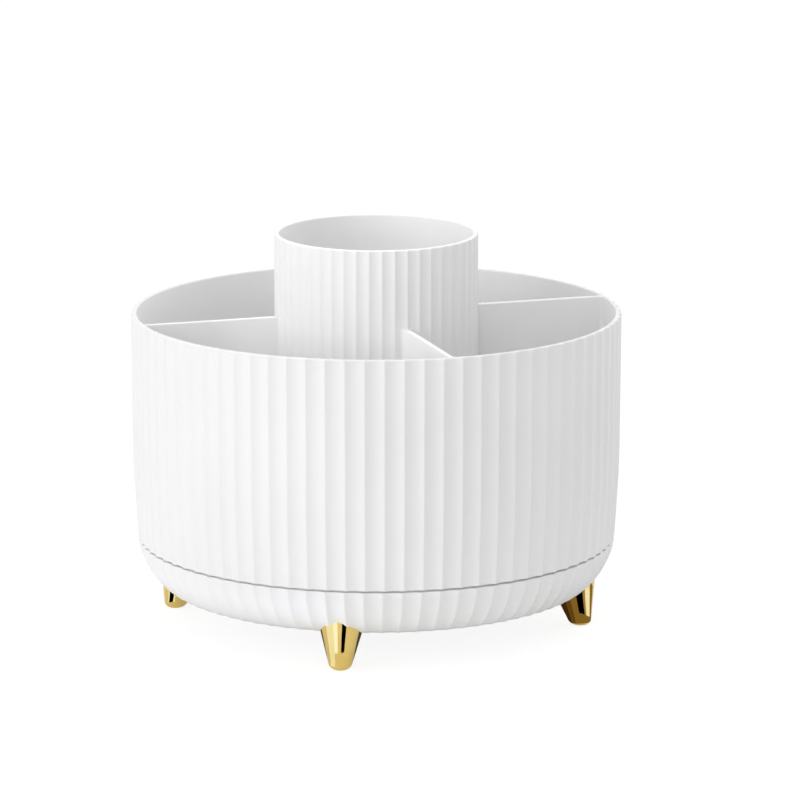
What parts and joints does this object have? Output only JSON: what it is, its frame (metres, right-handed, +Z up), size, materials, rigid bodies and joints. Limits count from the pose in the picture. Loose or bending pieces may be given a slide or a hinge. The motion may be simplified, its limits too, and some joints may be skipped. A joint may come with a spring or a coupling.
{
  "type": "rotating makeup organizer",
  "caption": "Fluted round tub with radial dividers and a taller centre cup, turning on a ball ring in a shallow fluted base with splayed gold feet; holds brushes and cosmetics.",
  "frame": {"origin": "on the table, under the turning axis, midway between the feet", "axes": "+Z up along the turning axis; -Y faces the front compartment, dividers lie on the diagonals"},
  "size_m": [0.1522, 0.1522, 0.1227],
  "materials": {
    "white_plastic": "satin moulded",
    "gold_plating": "polished gold plating",
    "zinc_steel": "zinc plated",
    "ball_steel": "polished",
    "cage_plastic": "as moulded",
    "bush_plastic": "natural acetal"
  },
  "bodies": {
    "base": {"base_bowl": "white_plastic", "lower_race": "zinc_steel", "hub_bush": "bush_plastic", "foot_right": "gold_plating", "foot_back": "gold_plating", "foot_left": "gold_plating", "foot_front": "gold_plating", "foot_screws": "zinc_steel", "screw_cap": "white_plastic"},
    "tub": {"organizer_tub": "white_plastic", "divider_front_right": "white_plastic", "divider_back_right": "white_plastic", "divider_back_left": "white_plastic", "divider_front_left": "white_plastic", "brush_cup": "white_plastic", "upper_race": "zinc_steel", "pivot_screw": "zinc_steel", "pivot_washer": "zinc_steel"},
    "cage": {"ball_cage": "cage_plastic"},
    "rolling_ball_01": {"ball_01": "ball_steel"},
    "rolling_ball_02": {"ball_02": "ball_steel"},
    "rolling_ball_03": {"ball_03": "ball_steel"},
    "rolling_ball_04": {"ball_04": "ball_steel"},
    "rolling_ball_05": {"ball_05": "ball_steel"},
    "rolling_ball_06": {"ball_06": "ball_steel"},
    "rolling_ball_07": {"ball_07": "ball_steel"},
    "rolling_ball_08": {"ball_08": "ball_steel"}
  },
  "joints": [
    {"name": "tub_spin", "type": "hinge", "parent": "base", "child": "tub", "pos_m": [0, 0, 0.0269], "axis": [0, 0, 1], "continuous": true},
    {"name": "cage_orbit", "type": "hinge", "parent": "base", "child": "cage", "pos_m": [0, 0, 0.021], "axis": [0, 0, 1], "continuous": true},
    {"name": "ball_01_roll", "type": "hinge", "parent": "cage", "child": "rolling_ball_01", "pos_m": [0.04599, 0, 0.021], "axis": [1, 0, 0], "continuous": true},
    {"name": "ball_02_roll", "type": "hinge", "parent": "cage", "child": "rolling_ball_02", "pos_m": [0.03252, 0.03252, 0.021], "axis": [0.7071, 0.7071, 0], "continuous": true},
    {"name": "ball_03_roll", "type": "hinge", "parent": "cage", "child": "rolling_ball_03", "pos_m": [0, 0.04599, 0.021], "axis": [0, 1, 0], "continuous": true},
    {"name": "ball_04_roll", "type": "hinge", "parent": "cage", "child": "rolling_ball_04", "pos_m": [-0.03252, 0.03252, 0.021], "axis": [-0.7071, 0.7071, 0], "continuous": true},
    {"name": "ball_05_roll", "type": "hinge", "parent": "cage", "child": "rolling_ball_05", "pos_m": [-0.04599, 0, 0.021], "axis": [-1, 0, 0], "continuous": true},
    {"name": "ball_06_roll", "type": "hinge", "parent": "cage", "child": "rolling_ball_06", "pos_m": [-0.03252, -0.03252, 0.021], "axis": [-0.7071, -0.7071, 0], "continuous": true},
    {"name": "ball_07_roll", "type": "hinge", "parent": "cage", "child": "rolling_ball_07", "pos_m": [0, -0.04599, 0.021], "axis": [0, -1, 0], "continuous": true},
    {"name": "ball_08_roll", "type": "hinge", "parent": "cage", "child": "rolling_ball_08", "pos_m": [0.03252, -0.03252, 0.021], "axis": [0.7071, -0.7071, 0], "continuous": true}
  ],
  "couplings": [
    {"joint": "cage_orbit", "follows": "tub_spin", "ratio": 0.5},
    {"joint": "ball_01_roll", "follows": "tub_spin", "ratio": -9.1983},
    {"joint": "ball_02_roll", "follows": "tub_spin", "ratio": -9.1983},
    {"joint": "ball_03_roll", "follows": "tub_spin", "ratio": -9.1983},
    {"joint": "ball_04_roll", "follows": "tub_spin", "ratio": -9.1983},
    {"joint": "ball_05_roll", "follows": "tub_spin", "ratio": -9.1983},
    {"joint": "ball_06_roll", "follows": "tub_spin", "ratio": -9.1983},
    {"joint": "ball_07_roll", "follows": "tub_spin", "ratio": -9.1983},
    {"joint": "ball_08_roll", "follows": "tub_spin", "ratio": -9.1983}
  ]
}
